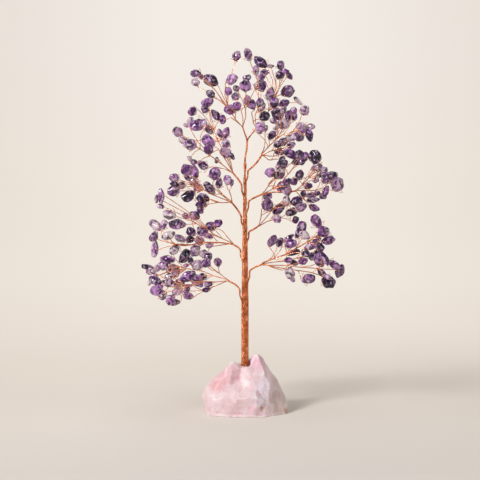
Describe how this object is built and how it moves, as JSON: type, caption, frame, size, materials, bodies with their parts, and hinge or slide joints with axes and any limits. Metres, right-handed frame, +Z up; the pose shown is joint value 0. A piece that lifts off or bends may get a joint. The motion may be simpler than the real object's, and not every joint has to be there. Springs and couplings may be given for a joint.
{
  "type": "gemstone tree ornament",
  "caption": "Wire tree ornament: twisted copper trunk glued into rough rose quartz, with bendable branches carrying tumbled amethyst chips.",
  "frame": {"origin": "on the stone's flat underside, directly below the trunk", "axes": "+Z up along the trunk; the pictured front faces -Y and the crown is widest along X"},
  "size_m": [0.1636, 0.076, 0.2921],
  "materials": {
    "rose_quartz": "rough broken stone",
    "glue": "clear set glue",
    "copper_wire": "bright copper",
    "dark_amethyst": "tumbled, glossy",
    "violet_amethyst": "tumbled, glossy",
    "pale_amethyst": "tumbled, glossy"
  },
  "bodies": {
    "trunk": {"rose_quartz_base": "rose_quartz", "glue_sleeve": "glue", "trunk_core": "copper_wire", "trunk_leads": "copper_wire"},
    "left_branch_1": {"left_branch_1_stems": "copper_wire", "left_branch_1_twigs": "copper_wire", "left_branch_1_dark_chips": "dark_amethyst", "left_branch_1_violet_chips": "violet_amethyst", "left_branch_1_pale_chips": "pale_amethyst"},
    "right_branch_1": {"right_branch_1_stems": "copper_wire", "right_branch_1_twigs": "copper_wire", "right_branch_1_dark_chips": "dark_amethyst", "right_branch_1_violet_chips": "violet_amethyst", "right_branch_1_pale_chips": "pale_amethyst"},
    "left_branch_2": {"left_branch_2_stems": "copper_wire", "left_branch_2_twigs": "copper_wire", "left_branch_2_dark_chips": "dark_amethyst", "left_branch_2_violet_chips": "violet_amethyst", "left_branch_2_pale_chips": "pale_amethyst"},
    "right_branch_2": {"right_branch_2_stems": "copper_wire", "right_branch_2_twigs": "copper_wire", "right_branch_2_dark_chips": "dark_amethyst", "right_branch_2_violet_chips": "violet_amethyst", "right_branch_2_pale_chips": "pale_amethyst"},
    "left_branch_3": {"left_branch_3_stems": "copper_wire", "left_branch_3_twigs": "copper_wire", "left_branch_3_dark_chips": "dark_amethyst", "left_branch_3_violet_chips": "violet_amethyst", "left_branch_3_pale_chips": "pale_amethyst"},
    "right_branch_3": {"right_branch_3_stems": "copper_wire", "right_branch_3_twigs": "copper_wire", "right_branch_3_dark_chips": "dark_amethyst", "right_branch_3_violet_chips": "violet_amethyst", "right_branch_3_pale_chips": "pale_amethyst"},
    "left_branch_4": {"left_branch_4_stems": "copper_wire", "left_branch_4_twigs": "copper_wire", "left_branch_4_dark_chips": "dark_amethyst", "left_branch_4_violet_chips": "violet_amethyst", "left_branch_4_pale_chips": "pale_amethyst"},
    "right_branch_4": {"right_branch_4_stems": "copper_wire", "right_branch_4_twigs": "copper_wire", "right_branch_4_dark_chips": "dark_amethyst", "right_branch_4_violet_chips": "violet_amethyst", "right_branch_4_pale_chips": "pale_amethyst"},
    "crown": {"crown_stems": "copper_wire", "crown_twigs": "copper_wire", "crown_dark_chips": "dark_amethyst", "crown_violet_chips": "violet_amethyst", "crown_pale_chips": "pale_amethyst"}
  },
  "joints": [
    {"name": "left_branch_1_bend", "type": "hinge", "parent": "trunk", "child": "left_branch_1", "pos_m": [-0.00408, 0.00018, 0.096], "axis": [0, 0, 1], "range_deg": [-6, 6]},
    {"name": "right_branch_1_bend", "type": "hinge", "parent": "trunk", "child": "right_branch_1", "pos_m": [0.00368, -0.00098, 0.1112], "axis": [0, 0, 1], "range_deg": [-6, 6]},
    {"name": "left_branch_2_bend", "type": "hinge", "parent": "trunk", "child": "left_branch_2", "pos_m": [-0.00351, 0.00045, 0.128], "axis": [0, 0, 1], "range_deg": [-6, 6]},
    {"name": "right_branch_2_bend", "type": "hinge", "parent": "trunk", "child": "right_branch_2", "pos_m": [0.00297, 0.00141, 0.1424], "axis": [0, 0, 1], "range_deg": [-6, 6]},
    {"name": "left_branch_3_bend", "type": "hinge", "parent": "trunk", "child": "left_branch_3", "pos_m": [-0.00293, -0.00081, 0.1552], "axis": [0, 0, 1], "range_deg": [-6, 6]},
    {"name": "right_branch_3_bend", "type": "hinge", "parent": "trunk", "child": "right_branch_3", "pos_m": [0.00278, -0.00042, 0.1672], "axis": [0, 0, 1], "range_deg": [-6, 6]},
    {"name": "left_branch_4_bend", "type": "hinge", "parent": "trunk", "child": "left_branch_4", "pos_m": [-0.00259, -0.00029, 0.18032], "axis": [0, 0, 1], "range_deg": [-6, 6]},
    {"name": "right_branch_4_bend", "type": "hinge", "parent": "trunk", "child": "right_branch_4", "pos_m": [0.00221, 0.00095, 0.19152], "axis": [0, 0, 1], "range_deg": [-6, 6]},
    {"name": "crown_bend", "type": "hinge", "parent": "trunk", "child": "crown", "pos_m": [0, 0, 0.2008], "axis": [0, 0, 1], "range_deg": [-6, 6]}
  ]
}
